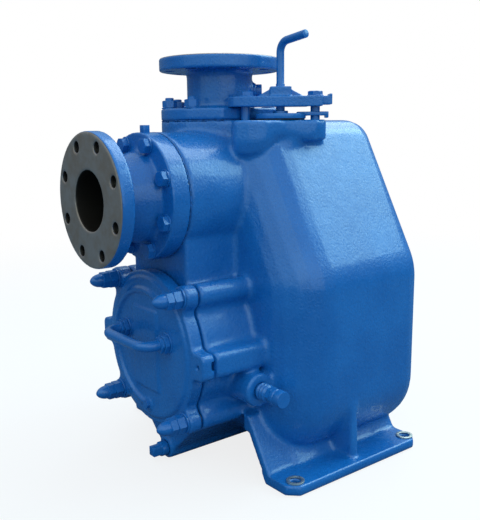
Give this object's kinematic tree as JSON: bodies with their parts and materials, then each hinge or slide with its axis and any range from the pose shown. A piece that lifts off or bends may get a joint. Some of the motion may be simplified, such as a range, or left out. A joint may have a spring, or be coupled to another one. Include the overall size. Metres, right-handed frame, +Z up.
{
  "type": "self-priming pump",
  "caption": "Self-priming centrifugal pump with a large priming tank, front clean-out cover, flanged suction and top discharge, clamped fill port and a rear drive shaft.",
  "frame": {"origin": "centre of the four foot holes, on the floor", "axes": "+Z up, +Y along the shaft towards its driven end, so the suction flange and clean-out cover face -Y; +X to the right seen from the front"},
  "size_m": [0.545, 0.754, 0.7799],
  "materials": {
    "blue_paint": "gloss enamel over rough castings",
    "bare_steel": "bright",
    "cast_iron": "as cast",
    "black_rubber": "matt",
    "sight_glass": "clear"
  },
  "bodies": {
    "pump": {"bearing_cap": "blue_paint", "bearing_cap_screws": "blue_paint", "bearing_housing": "blue_paint", "bearing_housing_bolts": "blue_paint", "clamp_bolts": "blue_paint", "cover_cap_nuts": "blue_paint", "cover_handle": "blue_paint", "cover_nuts": "blue_paint", "cover_o_ring": "black_rubber", "cover_studs": "blue_paint", "cover_washers": "blue_paint", "discharge_adapter": "blue_paint", "discharge_bolts": "blue_paint", "discharge_gasket": "black_rubber", "discharge_plug": "blue_paint", "drain_plug": "blue_paint", "foot_washers": "bare_steel", "front_cover": "blue_paint", "inboard_outer_race": "bare_steel", "oil_seal": "black_rubber", "oil_vent": "blue_paint", "outboard_outer_race": "bare_steel", "pump_casing": "blue_paint", "seal_plate": "cast_iron", "seal_seat": "bare_steel", "side_cap": "blue_paint", "side_nipple": "blue_paint", "sight_gauge": "sight_glass", "suction_adapter": "blue_paint", "suction_bolts": "blue_paint", "suction_gasket": "black_rubber", "valve_pin": "bare_steel", "vent_plug": "blue_paint", "wear_plate": "cast_iron"},
    "check_valve": {"valve_flap": "black_rubber", "valve_weights": "bare_steel"},
    "clamp_bar": {"clamp_bar": "blue_paint"},
    "fill_cover": {"fill_cover": "blue_paint", "fill_gasket": "black_rubber"},
    "clamp_screw": {"clamp_screw": "blue_paint"},
    "rotor": {"impeller": "cast_iron", "impeller_screw": "bare_steel", "pump_shaft": "bare_steel", "seal_head": "bare_steel", "seal_bellows": "black_rubber", "inboard_inner_race": "bare_steel", "outboard_inner_race": "bare_steel"}
  },
  "joints": [
    {"name": "rotor_spin", "type": "hinge", "parent": "pump", "child": "rotor", "pos_m": [0, 0.2, 0.227], "axis": [0, 1, 0], "continuous": true},
    {"name": "check_valve_swing", "type": "hinge", "parent": "pump", "child": "check_valve", "pos_m": [0, -0.241, 0.566], "axis": [1, 0, 0], "range_deg": [0, 70]},
    {"name": "clamp_bar_swing", "type": "hinge", "parent": "pump", "child": "clamp_bar", "pos_m": [0.05321, -0.08964, 0.66], "axis": [0, 0, -1], "range_deg": [0, 104]},
    {"name": "cover_lift", "type": "slide", "parent": "clamp_bar", "child": "fill_cover", "axis": [0, 0, 1], "range_m": [0, 0.004]},
    {"name": "screw_turn", "type": "hinge", "parent": "fill_cover", "child": "clamp_screw", "pos_m": [0.092, -0.04, 0.66], "axis": [0, 0, 1], "range_deg": [0, 360]}
  ],
  "couplings": [
    {"joint": "screw_turn", "follows": "cover_lift", "rad_per_m": 1570.8}
  ]
}
